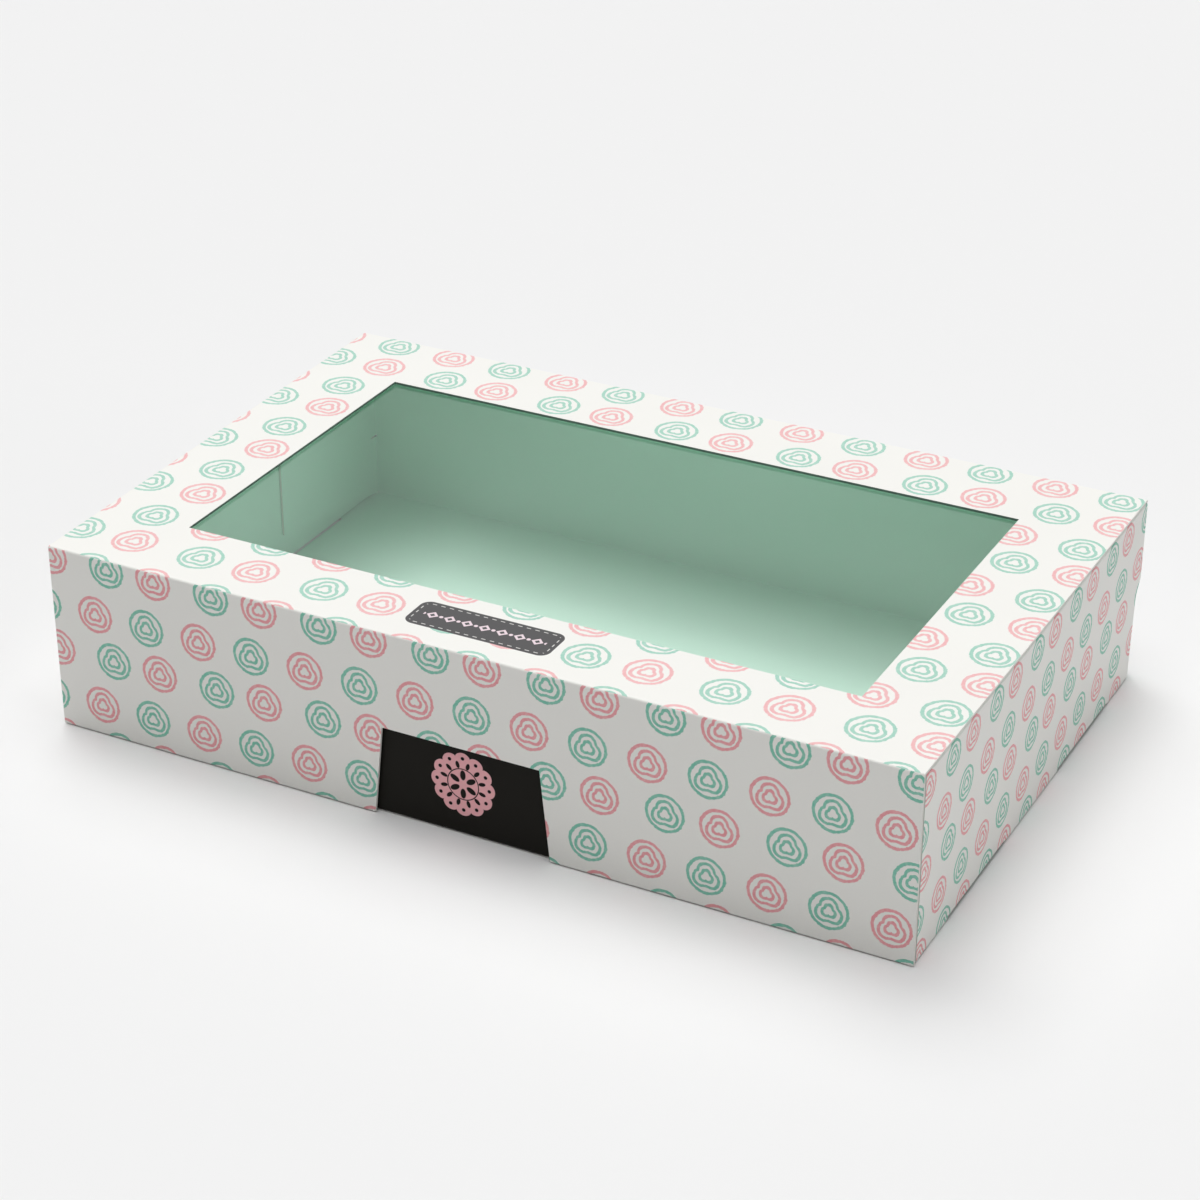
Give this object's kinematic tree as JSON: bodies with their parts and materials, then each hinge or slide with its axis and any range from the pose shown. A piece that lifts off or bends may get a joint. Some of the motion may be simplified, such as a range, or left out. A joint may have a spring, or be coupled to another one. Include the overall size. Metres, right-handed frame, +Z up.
{
  "type": "cake box",
  "caption": "Low rectangular folded paperboard cake box with a windowed hinged lid, a notched front flap and rolled side walls.",
  "frame": {"origin": "middle of the base, on the surface the box stands on", "axes": "+X along the length, to the right as seen from the front; +Y from the front flap to the lid's hinge at the back; +Z up"},
  "size_m": [0.356, 0.23, 0.0775],
  "materials": {
    "tray_board": "satin coated board, white outside with a pink and mint print, mint inside",
    "lid_board": "satin coated board, white outside with a pink and mint print, mint inside",
    "window_film": "clear glossy film",
    "flap_board": "satin coated board, white outside with a pink and mint print, mint inside"
  },
  "bodies": {
    "tray": {"tray": "tray_board"},
    "lid": {"lid": "lid_board", "window_film": "window_film"},
    "front_flap": {"front_flap": "flap_board"}
  },
  "joints": [
    {"name": "lid_hinge", "type": "hinge", "parent": "tray", "child": "lid", "pos_m": [0, 0.115, 0.0765], "axis": [-1, 0, 0], "range_deg": [0, 180]},
    {"name": "front_flap_hinge", "type": "hinge", "parent": "lid", "child": "front_flap", "pos_m": [0, -0.115, 0.0765], "axis": [-1, 0, 0], "range_deg": [0, 90]}
  ]
}
